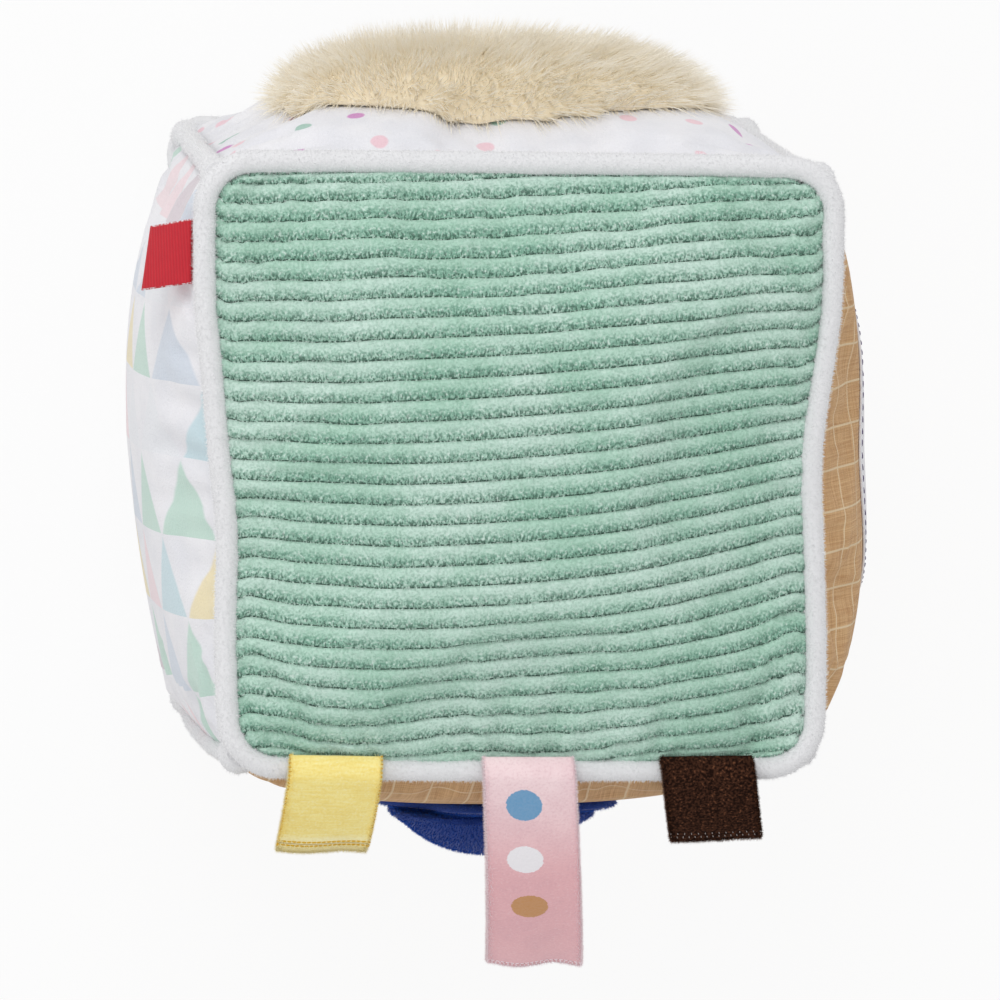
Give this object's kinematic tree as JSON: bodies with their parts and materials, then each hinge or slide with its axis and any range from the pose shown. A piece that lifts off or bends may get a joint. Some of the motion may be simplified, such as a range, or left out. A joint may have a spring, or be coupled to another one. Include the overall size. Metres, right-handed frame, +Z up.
{
  "type": "soft fabric block",
  "caption": "Stuffed soft cube with a ribbed plush front, patterned sides, piped seams, padded patches, hinged cloth tabs, a folded side label and an inner rattle.",
  "frame": {"origin": "middle of the bounding box's base, at the level the rear panel rests on", "axes": "+Z up out of the ribbed front panel, +Y towards the dotted top panel, -Y towards the tabs, -X towards the label"},
  "size_m": [0.1836, 0.233, 0.1705],
  "materials": {
    "mint_ribbed_plush": "ribbed plush",
    "white_velour": "printed velour",
    "tan_linen": "woven check",
    "white_terry": "terry pile",
    "white_wadding": "loose fibre",
    "clear_shell": "moulded",
    "steel_bead": "plain",
    "beige_fur": "long-pile fur",
    "navy_plush": "plush",
    "lilac_velour": "velour",
    "yellow_satin": "satin",
    "pale_yellow_plush": "plush",
    "pink_velour": "printed velour",
    "pale_pink_plush": "plush",
    "dark_brown_plush": "plush",
    "soft_brown_plush": "plush",
    "red_twill": "woven twill tape"
  },
  "bodies": {
    "block": {"front_panel": "mint_ribbed_plush", "rear_panel": "white_velour", "left_panel": "white_velour", "right_panel": "tan_linen", "top_panel": "white_velour", "bottom_panel": "tan_linen", "front_piping": "white_terry", "rear_piping": "white_terry", "top_right_piping": "white_terry", "top_left_piping": "white_terry", "bottom_left_piping": "white_terry", "bottom_right_piping": "white_terry", "upper_wadding": "white_wadding", "lower_wadding": "white_wadding", "rattle_upper_shell": "clear_shell", "rattle_lower_shell": "clear_shell", "rattle_bead_1": "steel_bead", "rattle_bead_2": "steel_bead", "rattle_bead_3": "steel_bead", "rattle_bead_4": "steel_bead", "rattle_bead_5": "steel_bead", "rattle_bead_6": "steel_bead", "fur_patch": "beige_fur", "fur_patch_wadding": "white_wadding", "navy_patch": "navy_plush", "navy_pad": "navy_plush", "navy_pad_wadding": "white_wadding", "round_patch": "lilac_velour"},
    "yellow_tab": {"yellow_tab_front": "yellow_satin", "yellow_tab_back": "pale_yellow_plush"},
    "pink_tab": {"pink_tab_front": "pink_velour", "pink_tab_back": "pale_pink_plush"},
    "brown_tab": {"brown_tab_front": "dark_brown_plush", "brown_tab_back": "soft_brown_plush"},
    "label": {"side_label": "red_twill"}
  },
  "joints": [
    {"name": "yellow_tab_lift", "type": "hinge", "parent": "block", "child": "yellow_tab", "pos_m": [-0.04665, -0.05593, 0.15936], "axis": [-0.9987, 0.0376, 0.0357], "range_deg": [0, 95]},
    {"name": "pink_tab_lift", "type": "hinge", "parent": "block", "child": "pink_tab", "pos_m": [-0.00023, -0.05703, 0.15877], "axis": [-0.9999, 0.0161, 0], "range_deg": [0, 95]},
    {"name": "brown_tab_lift", "type": "hinge", "parent": "block", "child": "brown_tab", "pos_m": [0.04309, -0.05741, 0.1593], "axis": [-0.9994, -0.004, -0.0336], "range_deg": [0, 95]},
    {"name": "label_bend", "type": "hinge", "parent": "block", "child": "label", "pos_m": [-0.08012, 0.06567, 0.15364], "axis": [0.0109, 0.9991, 0.0409], "range_deg": [-15, 45], "stiffness_Nm_per_rad": 0.0001}
  ]
}
